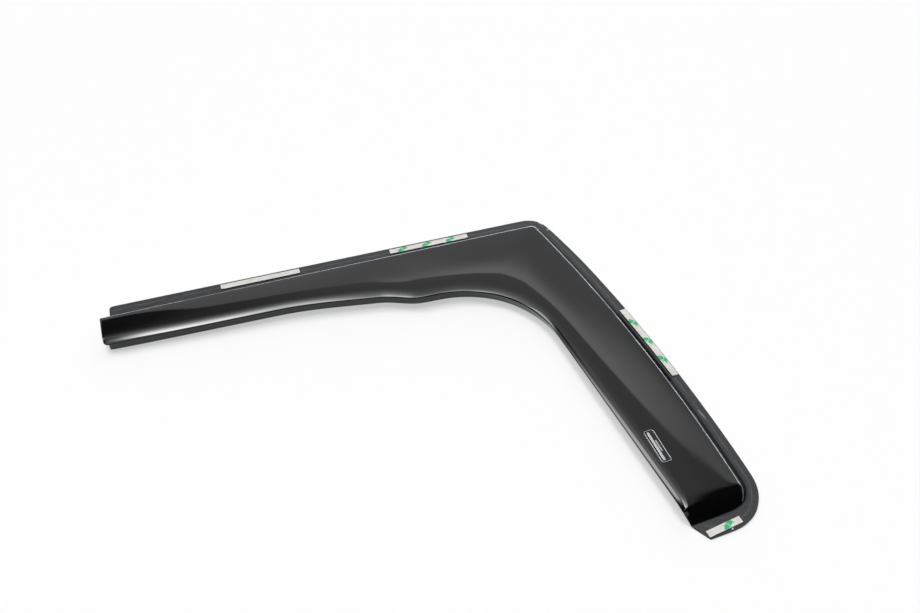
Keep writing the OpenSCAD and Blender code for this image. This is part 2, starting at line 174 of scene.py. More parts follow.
# %% [markdown]
# ## The studio
# Polished dark plastic shows almost nothing but what it mirrors, so the
# studio is painted round the piece with care. Two angles name a direction:
# `rise` runs from 0 at the horizon behind the piece over 90 overhead to 180
# behind the camera, and `side` runs from -1 on the left to 1 on the right.

# %% Directions of the studio
studio = bpy.data.worlds.new("studio")
scene.world = studio
sky = Board(studio)
look = sky.node("ShaderNodeTexCoord", {}, (), "Generated")
turned = sky.node("ShaderNodeVectorRotate", {"rotation_type": "Z_AXIS"},
                  {"Vector": look, "Angle": math.radians(-TURN)})
side = sky.node("ShaderNodeSeparateXYZ", {}, {0: turned}, 0)
deep, high = side.twin(1), side.twin(2)
rise = sky.node("ShaderNodeMath", {"operation": "ARCTAN2"}, {0: high, 1: deep}) * (180 / math.pi)


def by_side(*stops):
    """A grey set by pairs of a side and a value from 0 to 1."""
    return sky.node("ShaderNodeValToRGB", {"stops": [((at + 1) / 2, v) for at, v in stops]},
                    {0: (side + 1) * 0.5})


def by_rise(*stops):
    """A grey set by pairs of a rise and a value from 0 to 1."""
    return sky.node("ShaderNodeValToRGB", {"stops": [(at / 180, v) for at, v in stops]},
                    {0: rise * (1 / 180)})


print("side and rise ready")

# %% [markdown]
# Behind the piece stands a pale wall. Its upper edge draws the long line across
# the shield and sinks towards the left. Just under that edge the middle of the
# wall is brighter. Above it is a dim gap, darker to both sides and overhead.

# %% Wall and gap
WALL_GREY, BAND_GREY, GAP_GREY = 0.88, 1.3, 0.84
wall_edge = 90 * by_side(
    (-1.0, 0.23), (-0.38, 0.235), (-0.35, 0.26), (-0.31, 0.285), (-0.24, 0.3), (-0.2, 0.311),
    (-0.13, 0.337), (-0.09, 0.378), (-0.03, 0.42), (0.03, 0.445), (0.1, 0.467), (0.2, 0.48),
    (0.4, 0.486), (1.0, 0.5))
past_edge = rise - wall_edge
bright_band = (BAND_GREY * past_edge.step(-9.0, -1.0) * side.step(-0.16, 0.0)
               * (1 - 0.55 * side.step(0.28, 0.45)))
wall = ((WALL_GREY - 0.2 * side.step(0.3, 0.5) + bright_band)
        * (1 - 0.85 * side.step(0.55, 0.7)))
gap = by_side(
    (-1.0, 0.2), (-0.44, 0.03), (-0.37, 0.05), (-0.34, 0.1), (-0.3, 0.32), (-0.24, 0.5),
    (-0.18, 0.68), (-0.1, 0.85), (-0.03, 1.0), (0.1, 1.0), (0.25, 0.88), (0.37, 0.84),
    (0.47, 0.62), (0.57, 0.2), (0.65, 0.02), (1.0, 0.02))
gap_fade = by_rise((0, 1.0), (60, 1.0), (90, 0.35), (110, 0.06), (180, 0.05))
above = past_edge.step(-0.5, 0.5)
backdrop = wall * (1 - above) + GAP_GREY * gap * gap_fade * above
print("wall and gap ready")

# %% [markdown]
# Three lamps do the rest. The box overhead fades slowly towards the wall, which
# makes the wide soft streak on the roof arm, and its left edge ends that streak.
# A lamp far to the left draws the thin streak down the pillar arm. A low, weak
# one in front lights the lower corner.

# %% Lamps
BOX_POWER, FAR_POWER, FAR_REST_POWER, LOW_POWER = 25.0, 10.0, 5.0, 2.5
box = BOX_POWER * by_rise(
    (48, 0.0), (54, 0.012), (58, 0.03), (62, 0.055), (66, 0.09), (70, 0.15), (74, 0.24),
    (78, 0.37), (82, 0.52), (86, 0.72), (90, 0.9), (94, 1.0), (98, 0.9), (101, 0.5),
    (106, 0.1), (114, 0.0))
box_left = 0.0046 * (rise - 119.5) + 0.05 * rise.step(97.0, 102.0)
box_sides = ((side - box_left).step(-0.02, 0.008) * (1 - 0.55 * side.step(-0.08, 0.0))
             * (1 - side.step(0.1, 0.2)))
far_start = side.step(-0.62, -0.5)
far_lamp = by_rise(
    (61, 0.0), (64, 0.18), (68, 0.9), (70, 1.0), (75, 1.0), (82, 0.2), (90, 0.0)) * (
    FAR_POWER * far_start * (1 - side.step(-0.31, -0.24)) + FAR_REST_POWER * (1 - far_start))
low_lamp = LOW_POWER * by_rise((96, 0.0), (106, 1.0), (128, 1.0), (136, 0.0)) * (
    side.step(-0.16, -0.1) * (1 - side.step(0.08, 0.14)))
print("three lamps ready")

# %% [markdown]
# All of it is one background. Its strength is set so that a surface facing up
# gets about the light at which a colour renders as it is written. The camera
# itself sees plain white behind the table.

# %% World
LIGHT_LEVEL = 0.9
glow = low_lamp + backdrop + box * box_sides + far_lamp
seen = sky.node("ShaderNodeLightPath", {}, (), "Is Camera Ray")
light = sky.node("ShaderNodeBackground", {}, {"Color": glow, "Strength": LIGHT_LEVEL})
white = sky.node("ShaderNodeBackground", {}, {"Color": (1, 1, 1, 1), "Strength": 1.0})
both = sky.node("ShaderNodeMixShader", {}, (seen, light, white))
sky.node("ShaderNodeOutputWorld", {}, {"Surface": both})
print("world has", len(studio.node_tree.nodes), "nodes")

# %% [markdown]
# The piece lies on a white table. Half of what the camera sees of it is a white
# glow, so that it comes out white without more light on the object. The other
# half is a real surface and keeps the soft shadow. Mirrored in the acrylic, the
# glow is a little blue, as along the photographed lip.

# %% Floor
TABLE_HALF, TABLE_DROP, GLOW_SHARE = 6.0, 0.0001, 0.5
SHEET_WHITE, GLOW, BLUE_GLOW = (0.94, 0.94, 0.94, 1), (1, 1, 1, 1), (0.84, 0.95, 1.0, 1)
floor_mesh = bpy.data.meshes.new("table")
floor_mesh.from_pydata([(a * TABLE_HALF, b * TABLE_HALF, 0)
                        for a, b in ((-1, -1), (1, -1), (1, 1), (-1, 1))], [], [(0, 1, 2, 3)])
floor = new_object("table", floor_mesh)
floor.location.z = -TABLE_DROP
white_sheet = bpy.data.materials.new("table_white")
board = Board(white_sheet)
sight = board.node("ShaderNodeLightPath", {}, (), "Is Camera Ray")
mirrored = sight.twin("Is Glossy Ray")
sheet = board.node("ShaderNodeBsdfPrincipled", {}, {
    "Base Color": SHEET_WHITE, "Roughness": 0.6, "Specular IOR Level": 0.2})
plain = board.node("ShaderNodeEmission", {}, {
    "Color": board.mix(mirrored, GLOW, BLUE_GLOW), "Strength": 1.0})
both = board.node("ShaderNodeMixShader", {}, (GLOW_SHARE * (sight + mirrored), sheet, plain))
board.node("ShaderNodeOutputMaterial", {}, {"Surface": both})
floor_mesh.materials.append(white_sheet)
print("floor at", floor.location.z)

# %% [markdown]
# ## The lines of the moulding
# The shell is a sheet pulled over a mould, so its shape is set by a few long
# lines seen from above. Three run side by side: the outer edge, the foot of
# the wall and the rim. The fourth is the shield's inner edge. Each is a
# straight part, an arc, a long bow and another arc, in millimetres.

# %% Sizes in millimetres
MM = 0.001
SHEET = 2.5
# Heights of the rim, and of the shield's inner edge at the bend and at the open end.
RIM_H, BROW_H, BROW_OPEN_H = 12.0, 19.5, 15.5
# The shield's bulge, its shoulder near the rim, its turn down, and the roll of its edge.
CROWN_H, SHOULDER_H, BROW_DROP_H, ROLL_R, ROLL_START = 3.5, 1.8, 0.7, 2.0, 20.0
# The open end of the roof arm.
ROOF_LEN, SHIELD_OVER, END_SLANT = 625.0, 11.5, 3.0
FLANGE_END_R, SHIELD_END_R, LIP_SHORT = 5.0, 4.0, 6.0
# How far the rim and the inner edge lie from the roof arm's outer edge.
RIM_IN, RIM_IN_EXTRA = 26.5, 4.0
REACH_OPEN, REACH_SLANT = 85.0, 14.0
SWELL, SWELL_LEN, STEP, STEP_LEN = 17.0, 190.0, 12.0, 55.0
SWELL_GAP, STEP_GAP, FAN_GAP = 20.0, 22.0, 6.0
# The bend, and the pillar arm on its long bow.
CORNER_R, CORNER_CUT, RIM_CORNER_R, BAY_R = 38.0, 2.6, 8.0, 128.0
PILLAR_LEN, PILLAR_LEAN, BOW_R = 506.5, 15.0, 2370.0
PILLAR_RIM_IN, PILLAR_REACH, INNER_LEAN, LIP_LEAN, LIP_LEAN_ROOF = 25.5, 111.0, 7.4, 8.5, 0.5
# The closed lower end.
END_R, END_TILT, END_RIM_R, END_RIM_DROP, END_RIM_FALL = 58.0, 8.0, 6.0, 15.5, 12.0
END_RUN, END_RUN_FREE, END_FOOT_R, END_FLANGE, FREE_TURN = 19.0, 14.5, 34.0, 27.0, -54.0
# The wall's run and curve, the bend before the end wall, and the depth of the lip.
WALL_RUN, WALL_POWER, END_TOP, LIP_H, LIP_LOW_H = 12.0, 1.1, 0.45, 12.0, 1.5
END_SAG, SAG_AT_RIM, SAG_AT_EDGE, SAG_FULL_TO = 2.5, 0.4, 0.6, 0.6
HOME = Vector((38.0, 5.8, 0.0))
FLANGE_Z, RIM_Z = SHEET, SHEET + RIM_H
print("sheet", SHEET, "mm, arms", ROOF_LEN, "and", PILLAR_LEN, "mm")

# %% [markdown]
# A few small functions carry the geometry: a mix of two values, a soft start and
# stop, and the sine, cosine and direction of an angle in degrees.

# %% Small helpers
def lerp(a, b, f):
    return a + (b - a) * f


def ease(f):
    f = min(1.0, max(0.0, f))
    return f * f * (3 - 2 * f)


def sine(degrees):
    return math.sin(math.radians(degrees))


def cosine(degrees):
    return math.cos(math.radians(degrees))


def heading(degrees):
    return Vector((cosine(degrees), sine(degrees)))


def angle_of(v):
    return math.degrees(math.atan2(v.y, v.x))


print("a quarter of the way, ease gives", ease(0.25))

# %% [markdown]
# The pillar arm follows one long bow. A line set in from the outer edge is the
# same bow with a smaller radius, so the flange and the wall stay parallel.

# %% Bow of the pillar arm
BOW = Vector((-BOW_R * cosine(PILLAR_LEAN), -BOW_R * sine(PILLAR_LEAN)))
BOW_END = math.degrees(math.asin(sine(PILLAR_LEAN) - PILLAR_LEN / BOW_R))


def bow(angle, inset):
    """A point of the long bow, or of a bow set in from it."""
    return BOW + heading(angle) * (BOW_R - inset)


def on_bow(inset, radius, y):
    """Centre at height y of a circle that touches the bow from inside."""
    reach = BOW_R - inset - radius
    return Vector((BOW.x + math.sqrt(reach ** 2 - (y - BOW.y) ** 2), y))


# The three outer lines by number, and the direction of the lower corner's middle.
EDGE, FOOT, RIM = 0, 1, 2
LOW_MID = -45.0


def roof_in(kind, x):
    """How far a line lies inside the roof arm's outer edge."""
    rim = RIM_IN + RIM_IN_EXTRA * max(0.0, min(1.0, -x / ROOF_LEN))
    return (0.0, rim - WALL_RUN, rim)[kind]


PILLAR_IN = (0.0, PILLAR_RIM_IN - WALL_RUN, PILLAR_RIM_IN)
BEND_R = (CORNER_R, RIM_CORNER_R + WALL_RUN, RIM_CORNER_R)
BEND = [on_bow(PILLAR_IN[k], BEND_R[k], -roof_in(k, 0) - BEND_R[k]) for k in range(3)]
END_CENTRE = bow(BOW_END, END_R)
RIM_END_Y = END_CENTRE.y - END_RIM_DROP
LOW_R = (END_R, END_FOOT_R, END_RIM_R)
LOW = [END_CENTRE] + [
    on_bow(PILLAR_IN[k], LOW_R[k], RIM_END_Y - (END_RUN if k == FOOT else 0) + LOW_R[k])
    for k in (FOOT, RIM)]
LOW_START = [angle_of(LOW[k] - BOW) for k in range(3)]
print("bow ends at", round(BOW_END, 2), "degrees")

# %% [markdown]
# The inner edge swells towards the bend, makes one short step, turns round
# the inside of the bend on a large arc and runs straight down the pillar.

# %% Inner edge of the shield
BAY_REACH = REACH_OPEN + REACH_SLANT + SWELL + STEP
INNER_FOOT = Vector((bow(BOW_END, 0).x - PILLAR_REACH, -PILLAR_LEN))
TAN_IN = math.tan(math.radians(INNER_LEAN))
BAY_X = INNER_FOOT.x + (INNER_FOOT.y + BAY_REACH + BAY_R) * TAN_IN - BAY_R / cosine(INNER_LEAN)
BAY = Vector((BAY_X, -BAY_REACH - BAY_R))
BAY_END = BAY + BAY_R * heading(INNER_LEAN)
INNER_END_Y = RIM_END_Y - END_RIM_FALL
INNER_END = Vector((INNER_FOOT.x + (INNER_FOOT.y - INNER_END_Y) * TAN_IN, INNER_END_Y))
SWELL_FROM = BAY_X - SWELL_LEN - SWELL_GAP
STEP_FROM = BAY_X - STEP_LEN - STEP_GAP


def reach(x):
    """How far the inner edge lies from the roof arm's outer edge."""
    return (REACH_OPEN + REACH_SLANT * (ROOF_LEN + x) / (ROOF_LEN + BAY_X)
            + SWELL * ease((x - SWELL_FROM) / SWELL_LEN)
            + STEP * ease((x - STEP_FROM) / STEP_LEN))


def inner_edge(place):
    """A point of it: part 0 is the roof arm, 1 the bend and 2 the pillar arm."""
    kind, f = place
    if kind == 0:
        return Vector((f, -reach(f)))
    if kind == 1:
        return BAY + BAY_R * heading(f)
    return lerp(BAY_END, INNER_END, f)


FREE = [Vector((END_CENTRE.x - END_FLANGE, END_CENTRE.y - END_R * cosine(END_TILT)
                - (END_FLANGE - END_R * sine(END_TILT)) * math.tan(math.radians(END_TILT)))),
        INNER_END + END_RUN_FREE * heading(FREE_TURN), INNER_END]
print("the inside of the bend starts at x", round(BAY_X, 1), "mm")

# %% [markdown]
# One function now gives any point of the three outer lines. It is told the line,
# the part of it, and how far along that part to go. Past the corner the real
# outer edge runs a little inside its arc and its bow, and is drawn in to match.

# %% Outer lines
CUT_ARC_FROM, CUT_ARC_LEN, CUT_BOW_LEN, CUT_BOW_POWER = 0.4, 0.5, 0.18, 1.5


def drawn_in(kind, part, f):
    """How far the outer edge runs inside the arc (part 1) or the bow (part 2)."""
    if kind != EDGE:
        return 0.0
    if part == 1:
        return CORNER_CUT * ease((f - CUT_ARC_FROM) / CUT_ARC_LEN)
    return CORNER_CUT * max(0.0, 1 - f / CUT_BOW_LEN) ** CUT_BOW_POWER


def side_line(kind, part, f):
    """A point of the outer edge, the wall's foot or the rim, part by part."""
    if part == 0:
        return Vector((f, -roof_in(kind, f)))
    if part == 1:
        turn = lerp(90, angle_of(BEND[kind] - BOW), f)
        return BEND[kind] + (BEND_R[kind] - drawn_in(kind, 1, f)) * heading(turn)
    if part == 2:
        turn = lerp(angle_of(BEND[kind] - BOW), LOW_START[kind], f)
        return bow(turn, PILLAR_IN[kind] + drawn_in(kind, 2, f))
    if part == 3:
        return LOW[kind] + LOW_R[kind] * heading(lerp(LOW_START[kind], LOW_MID, f))
    goal = FREE[kind] - LOW[kind]
    leave = angle_of(goal) + math.degrees(math.acos(LOW_R[kind] / goal.length))
    arc = LOW_R[kind] * math.radians(LOW_MID - leave)
    start = LOW[kind] + LOW_R[kind] * heading(leave)
    done = f * (arc + (FREE[kind] - start).length)
    if done < arc:
        return LOW[kind] + LOW_R[kind] * heading(lerp(LOW_MID, leave, done / arc))
    return lerp(start, FREE[kind], (done - arc) / (FREE[kind] - start).length)


print("the rim's corner starts at x", round(side_line(RIM, 1, 0).x, 1), "mm")

# %% [markdown]
# Ribs cross the sheet from the flange's outer edge over the rim and the shield
# to the lip. Each is a part and a place on the outer lines, with a place on the
# inner edge. Round the bend the ribs fan out, since the inner edge is longer.

# %% Stations of the ribs
def upto(n):
    return [(k + 1) / n for k in range(n)]


FAN_FROM = STEP_FROM + STEP_LEN + FAN_GAP
BAY_MID = (90 + INNER_LEAN) / 2
BAY_HALF_FAN = 12
STRAIGHT_SHARE, ARC_SHARE = 0.3, 0.7
PILLAR_FAN, INNER_FAN, INNER_LAST = 0.46, 0.11, 0.94
OPEN_X = -ROOF_LEN - SHIELD_OVER
FULL_X = -ROOF_LEN + 1.8 * FLANGE_END_R
ROOF_RIBS, SWELL_RIBS, INTO_RIBS, ARC_RIBS = 9, 17, 7, 10
OUT_RIBS, PILLAR_RIBS, END_RIBS = 8, 12, 4


def into_bend(f):
    """Place on the inner edge while the outer edge runs up to the corner."""
    if f < STRAIGHT_SHARE:
        return 0, lerp(FAN_FROM, BAY_X, f / STRAIGHT_SHARE)
    return 1, lerp(90, BAY_MID + BAY_HALF_FAN, (f - STRAIGHT_SHARE) / (1 - STRAIGHT_SHARE))


def out_of_bend(f):
    """Place on the inner edge while the outer edge starts down the pillar."""
    if f < ARC_SHARE:
        return 1, lerp(BAY_MID - BAY_HALF_FAN, INNER_LEAN, f / ARC_SHARE)
    return 2, lerp(0, INNER_FAN, (f - ARC_SHARE) / (1 - ARC_SHARE))


stations = [(0, OPEN_X, (0, OPEN_X + END_SLANT)),
            (0, -ROOF_LEN, (0, OPEN_X + END_SLANT + LIP_SHORT)), (0, FULL_X, (0, FULL_X))]
for start, end, ribs in ((FULL_X, SWELL_FROM, ROOF_RIBS), (SWELL_FROM, FAN_FROM, SWELL_RIBS)):
    stations += [(0, lerp(start, end, f), (0, lerp(start, end, f))) for f in upto(ribs)]
stations += [(0, lerp(FAN_FROM, BEND[0].x, f), into_bend(f)) for f in upto(INTO_RIBS)]
stations += [(1, f, (1, lerp(BAY_MID + BAY_HALF_FAN, BAY_MID - BAY_HALF_FAN, f)))
             for f in upto(ARC_RIBS)]
stations += [(2, lerp(0, PILLAR_FAN, f), out_of_bend(f)) for f in upto(OUT_RIBS)]
stations += [(2, lerp(PILLAR_FAN, 1, f), (2, lerp(INNER_FAN, INNER_LAST, f)))
             for f in upto(PILLAR_RIBS)]
stations += [(3, f, (2, lerp(INNER_LAST, 1, f))) for f in upto(END_RIBS)]
LAST = len(stations) - 1
print(len(stations), "ribs")

# %% [markdown]
# Each rib is cut into rows. They stand close together where the sheet turns
# quickly: near the rim, at the roll above the lip, and at the flange's edge.

# %% Rows across a rib
# Shares of the width for the shield, shares of the depth for the wall and the
# lip, and for the flange its distances from the outer edge.
ACROSS = [0, 0.02, 0.06, 0.14, 0.25, 0.38, 0.52, 0.66, 0.78, 0.87, 0.93, 0.975, 1]
FLAT = len(ACROSS) - 1
STEPS = FLAT + 4
DOWN = [0, 0.1, 0.28, 0.5, 0.72, 0.93, 1]
SINK = len(DOWN) - 1
LAND = [9.0, 5.0, 2.5, 1.0, 0.0]
SIDE_ROWS = SINK + len(LAND)


def roll_angle(k):
    return lerp(ROLL_START, 90, max(0, k - FLAT) / (STEPS - FLAT))


def across(k, w):
    """Share of the rib's width w at which row k of the top stands."""
    start = 1 - ROLL_R * (1 - sine(ROLL_START)) / w
    return ACROSS[k] * start if k <= FLAT else 1 - ROLL_R * (1 - sine(roll_angle(k))) / w


print(STEPS + 1, "rows on the shield,", SIDE_ROWS + 1, "on the wall and the flange")

# %% [markdown]
# Across a rib the shield climbs from the rim, bulges a little, and turns down
# into a tight roll above the lip. That long bulge is what draws the soft white
# streak. Each bulge is a power curve, and the factor that goes with it makes
# its peak about 1.

# %% Heights across a rib
BROW_RISE, BROW_DROP_FROM = 1.4, 0.7
CROWN_PEAK, SHOULDER_PEAK, BROW_PEAK = 256 / 27, 27 / 4, 34


def along(i):
    """How far round the piece a rib is: 0 open end, 1 bend, 2 pillar, 3 lower end."""
    kind, f = stations[i][2]
    if kind == 0:
        return max(0.0, min(1.0, (f + ROOF_LEN) / (ROOF_LEN + BAY_X)))
    return 1 + (90 - f) / (90 - INNER_LEAN) if kind == 1 else 2 + f


def edge_top(i):
    """Height to which the shield climbs at rib i."""
    return FLANGE_Z + lerp(BROW_OPEN_H, BROW_H, ease(along(i) * BROW_RISE))


def shield_z(k, w, top, drop):
    """Height of row k on a rib of width w that climbs to top."""
    v = ACROSS[min(k, FLAT)]
    crown = CROWN_H * v ** 3 * (1 - v) * CROWN_PEAK
    shoulder = SHOULDER_H * v * (1 - v) ** 2 * SHOULDER_PEAK
    brow = drop * v ** 12 * (1 - v) * BROW_PEAK
    return (lerp(RIM_Z, top, v) + crown + shoulder + brow
            - ROLL_R * (cosine(ROLL_START) - cosine(roll_angle(k))))


def brow_drop(i):
    """The pillar arm's shield turns down a little harder before its edge."""
    return BROW_DROP_H * ease(along(i) - BROW_DROP_FROM)


def lip_z(i):
    """Height of the lip's lower edge."""
    if i == LAST:
        return FLANGE_Z
    return lerp(edge_top(i) - LIP_H, FLANGE_Z + LIP_LOW_H, ease(along(i) - 1))


print("the shield rises from", RIM_Z, "to", round(edge_top(LAST), 1), "mm at the lower end")

# %% [markdown]
# The wall behind the rim falls in a curve onto the flange. At the lower end it
# turns the corner, gets a round top and runs on under the last rib as the end
# wall. The last ribs bend down a little before it, so that the end is soft.

# %% Wall and closed end
END_W = (LOW[2] - INNER_END).length
SIDE_LAST = LAST + STEPS


def plan(kind, i):
    """Where rib i meets an outer line. Past the last rib come those of the end wall."""
    if i <= LAST:
        return side_line(kind, stations[i][0], stations[i][1])
    return side_line(kind, 4, across(i - LAST, END_W))


def sag(i, v):
    """How far the shield has bent down before the end wall, at the last ribs."""
    part, f = stations[i][:2]
    if part != 3:
        return 0.0
    return (END_SAG * f * f * lerp(SAG_AT_RIM, 1, ease(v * 4))
            * lerp(1, SAG_AT_EDGE, ease((v - SAG_FULL_TO) / (1 - SAG_FULL_TO))))


def crest_z(i):
    """Height of the wall's upper border."""
    if i <= LAST:
        return RIM_Z - sag(i, 0)
    k = i - LAST
    return shield_z(k, END_W, edge_top(LAST), BROW_DROP_H) - sag(LAST, across(k, END_W))


def rounded(i):
    """0 where the wall is straight, 1 where its top is round, at the lower corner."""
    if i > LAST:
        return 1 - across(i - LAST, END_W) ** 2
    return ease(stations[i][1]) if stations[i][0] == 3 else 0.0


def wall_left(u, i):
    """The wall's height that is left at a share u of its run."""
    return lerp((1 - u) ** WALL_POWER, 1 - END_TOP * u - (1 - END_TOP) * u * u, rounded(i))


print("the end wall is", round(END_W, 1), "mm wide")

# %% [markdown]
# Now every point of the outer face can be placed. There are three grids: the
# wall and flange, the top of the shield, and the lip. They share their borders.
# The open end's corners are round, on the flange and on the shield.

# %% Points of the outer face
def round_off(d, r):
    """How far a corner of radius r takes a line back, a distance d before its end."""
    return 0.0 if d >= r else r - math.sqrt(r * r - (r - d) ** 2)


def at(p, z):
    return Vector((p.x, p.y, z))


def side_point(i, j):
    rim, foot, edge = plan(RIM, i), plan(FOOT, i), plan(EDGE, i)
    if j <= SINK:
        u = DOWN[j]
        return at(lerp(rim, foot, u), FLANGE_Z + (crest_z(i) - FLANGE_Z) * wall_left(u, i))
    d = LAND[j - SINK - 1]
    p = lerp(edge, foot, d / (foot - edge).length)
    return at(p + Vector((round_off(d, FLANGE_END_R) if i == 1 else 0.0, 0.0)), FLANGE_Z)


def top_point(i, k):
    if i == LAST:
        return side_point(LAST + k, 0)
    rim, edge = plan(RIM, i), inner_edge(stations[i][2])
    w = (rim - edge).length
    v = across(k, w)
    nudge = round_off((1 - v) * w, SHIELD_END_R) if i == 0 else 0.0
    height = shield_z(k, w, edge_top(i), brow_drop(i)) - sag(i, v)
    return at(lerp(rim, edge, v) + Vector((nudge, 0.0)), height)


def lip_point(i, m):
    if i == LAST:
        return side_point(SIDE_LAST, m)
    rim, edge = plan(RIM, i), inner_edge(stations[i][2])
    back = (rim - edge).normalized() * lerp(LIP_LEAN_ROOF, LIP_LEAN, ease(along(i) - 1))
    upper = edge_top(i) - ROLL_R * cosine(ROLL_START) - sag(i, 1)
    return at(edge + back * DOWN[m], lerp(upper, lip_z(i), DOWN[m]))


SIDE = [[side_point(i, j) for j in range(SIDE_ROWS + 1)] for i in range(SIDE_LAST + 1)]
TOP = [[top_point(i, k) for k in range(STEPS + 1)] for i in range(LAST + 1)]
LIP = [[lip_point(i, m) for m in range(SINK + 1)] for i in range(LAST + 1)]
print("outer face made of", sum(len(grid) * len(grid[0]) for grid in (SIDE, TOP, LIP)), "points")

# %% [markdown]
# The sheet has one thickness everywhere. So the inner face is the outer face
# moved in along its own normals. The normal at a point comes from its
# neighbours, and where two patches meet the two normals are averaged.

# %% Inner face
MITRE_LEAST = 0.6


def normal(grid, a, b, low, sense):
    """The outward normal at a point of a grid. Its own points start at row low."""
    du = grid[min(len(grid) - 1, a + 1)][b] - grid[max(low, a - 1)][b]
    dv = grid[a][min(len(grid[0]) - 1, b + 1)] - grid[a][max(0, b - 1)]
    return du.cross(dv).normalized() * sense


def side_n(i, j): return normal(SIDE, i, j, 1, 1)
def top_n(i, k): return normal(TOP, i, k, 0, -1)
def lip_n(i, m): return normal(LIP, i, m, 1, -1)


def inside(p, a, b):
    """The inner point under p, along the mean of two normals."""
    mean = (a + b).normalized()
    return p - mean * SHEET / max(MITRE_LEAST, mean.dot(a))


def top_in(i, k):
    own = other = top_n(i, k)
    if k == 0 and i > 0:
        other = side_n(i, 0)
    elif i == LAST:
        other = side_n(LAST + k, 0)
    elif k == STEPS and i > 0:
        other = lip_n(i, 0)
    return inside(TOP[i][k], own, other)


def lip_in(i, m):
    return inside(LIP[i][m], lip_n(i, m), side_n(SIDE_LAST, m) if i == LAST else lip_n(i, m))


print("the inner face starts at height", round(top_in(0, 0).z, 2), "mm")

# %% [markdown]
# A point that two patches share is made once, so the mesh is closed. The outer
# face, the inner face and the strip of cut edge between them are then plain
# four-sided faces.

# %% Points of the shell mesh
shell_mesh = bpy.data.meshes.new("visor_shell")
bm = bmesh.new()
crest = bm.verts.layers.float.new("crest")


def place(bm, point):
    """One mesh point, in metres, from a point in the moulding's own millimetres."""
    return bm.verts.new((point + HOME) * MM)


def place_points(side_at, top_at, lip_at):
    """Adds the points of one face. Points that two patches share are added once."""
    found = {}
    for i in range(LAST + 1):
        for k in range(STEPS + 1):
            found["t", i, k] = place(bm, top_at(i, k))
    for i in range(1, LAST + 1):
        found["l", i, 0] = found["t", i, STEPS]
        for m in range(1, SINK + 1):
            found["l", i, m] = place(bm, lip_at(i, m))
    for i in range(1, SIDE_LAST + 1):
        for j in range(SIDE_ROWS + 1):
            if j == 0:
                found["s", i, j] = found["t", min(i, LAST), max(0, i - LAST)]
            elif i == SIDE_LAST and j <= SINK:
                found["s", i, j] = found["l", LAST, j]
            else:
                found["s", i, j] = place(bm, side_at(i, j))
    return found


outer = place_points(side_point, top_point, lip_point)
inner = place_points(lambda i, j: inside(SIDE[i][j], side_n(i, j), side_n(i, j)), top_in, lip_in)
print(len(bm.verts), "points")

# %% [markdown]
# Three patches cover each face: wall and flange, top, and lip. The border is the
# one closed line round all three, and runs along the cut edge of the sheet.

# %% Faces of the shell mesh
patches = [("s", range(1, SIDE_LAST), range(SIDE_ROWS), False),
           ("t", range(LAST), range(STEPS), True), ("l", range(1, LAST), range(SINK), True)]
for points, flip in ((outer, False), (inner, True)):
    for patch, rows, cols, turned_over in patches:
        for a in rows:
            for b in cols:
                ring = [points[patch, a, b], points[patch, a + 1, b],
                        points[patch, a + 1, b + 1], points[patch, a, b + 1]]
                bm.faces.new(ring if flip == turned_over else ring[::-1])
border = ([("s", i, SIDE_ROWS) for i in range(1, SIDE_LAST + 1)]
          + [("s", SIDE_LAST, j) for j in range(SIDE_ROWS - 1, SINK - 1, -1)]
          + [("l", i, SINK) for i in range(LAST - 1, 0, -1)]
          + [("l", 1, m) for m in range(SINK - 1, -1, -1)]
          + [("t", 0, k) for k in range(STEPS, -1, -1)]
          + [("s", 1, j) for j in range(SIDE_ROWS)])
print(len(bm.faces), "faces without the cut edge")

# %% [markdown]
# Creases keep the cut edge and the rim crisp while subdivision smooths the rest.
# The crest layer marks the top of the rim, where the acrylic gets a painted highlight.

# %% Cut edge and creases
CUT_CREASE, RIM_CREASE = 0.85, 0.45
crease = bm.edges.layers.float.new("crease_edge")
# The crest value says where the acrylic gets its painted highlight.
for i in range(LAST + 1):
    outer["t", i, 0][crest] = 1 - rounded(i)


def sharpen(a, b, amount):
    edge = bm.edges.get((a, b))
    if edge:
        edge[crease] = amount


for n, a in enumerate(border):
    b = border[(n + 1) % len(border)]
    bm.faces.new([outer[a], outer[b], inner[b], inner[a]])
    sharpen(outer[a], outer[b], CUT_CREASE)
    sharpen(inner[a], inner[b], CUT_CREASE)
for i in range(1, LAST):
    sharpen(outer["s", i, 0], outer["s", i + 1, 0], RIM_CREASE * (1 - rounded(i)))
bmesh.ops.recalc_face_normals(bm, faces=bm.faces)
for face in bm.faces:
    face.smooth = True
bm.to_mesh(shell_mesh)
bm.free()
print("shell mesh", len(shell_mesh.vertices), "points,", len(shell_mesh.polygons), "faces")

# %% [markdown]
# Two rounds of subdivision turn the coarse ribs into one smooth skin. The shell
# then rides on the part's only body and stands in for the CAD shell.

# %% Shell piece
shell = new_object("visor_shell", shell_mesh)
smooth = shell.modifiers.new("smooth", "SUBSURF")
smooth.levels = smooth.render_levels = 2
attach(shell, "root")
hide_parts("deflector_shell")
print("shell has", len(shell_mesh.polygons) * 4 ** smooth.levels, "faces once it is smooth")

# %% [markdown]
# ## Smoked acrylic
# The shield is polished: nearly black, with a faint haze. The flange was left
# duller by the mould. To tell them apart the material needs to know where on the
# sheet it is, so the first cell makes two masks from the place: `inset` is the
# distance from the outer edge in millimetres, and `flange` is 1 low down.

# %% Places on the sheet
def new_material(name):
    """A material, the board of its nodes, and the place on its piece in metres."""
    made = bpy.data.materials.new(name)
    board = Board(made)
    return made, board, board.node("ShaderNodeTexCoord", {}, (), "Object")


